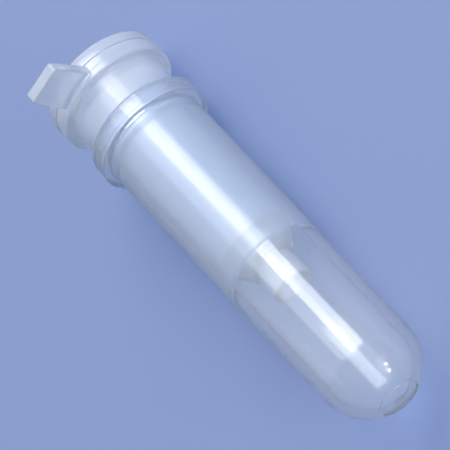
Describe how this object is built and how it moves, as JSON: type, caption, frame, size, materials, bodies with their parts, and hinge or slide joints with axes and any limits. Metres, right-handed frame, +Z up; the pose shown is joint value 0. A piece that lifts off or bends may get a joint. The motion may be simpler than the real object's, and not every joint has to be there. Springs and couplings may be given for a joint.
{
  "type": "spin column",
  "caption": "Translucent spin column with a silica membrane, seated in a round-bottomed collection tube and lying on its side with its grip tab turned up.",
  "frame": {"origin": "on the floor, under the middle of the box around the lying object", "axes": "+X along the tube towards its round closed end, +Z up, with the grip tab pointing up and leaning a little towards +Y"},
  "size_m": [0.048, 0.013, 0.018],
  "materials": {
    "tube_plastic": "milky translucent polypropylene, frosted above the step and polished below it",
    "column_plastic": "milky translucent polypropylene, satin",
    "porous_plastic": "sintered porous polyethylene",
    "silica_felt": "white felted glass fibre",
    "ring_plastic": "natural polypropylene"
  },
  "bodies": {
    "root": {"collection_tube": "tube_plastic", "column_body": "column_plastic", "support_frit": "porous_plastic", "silica_membrane": "silica_felt", "retaining_ring": "ring_plastic"}
  },
  "joints": []
}
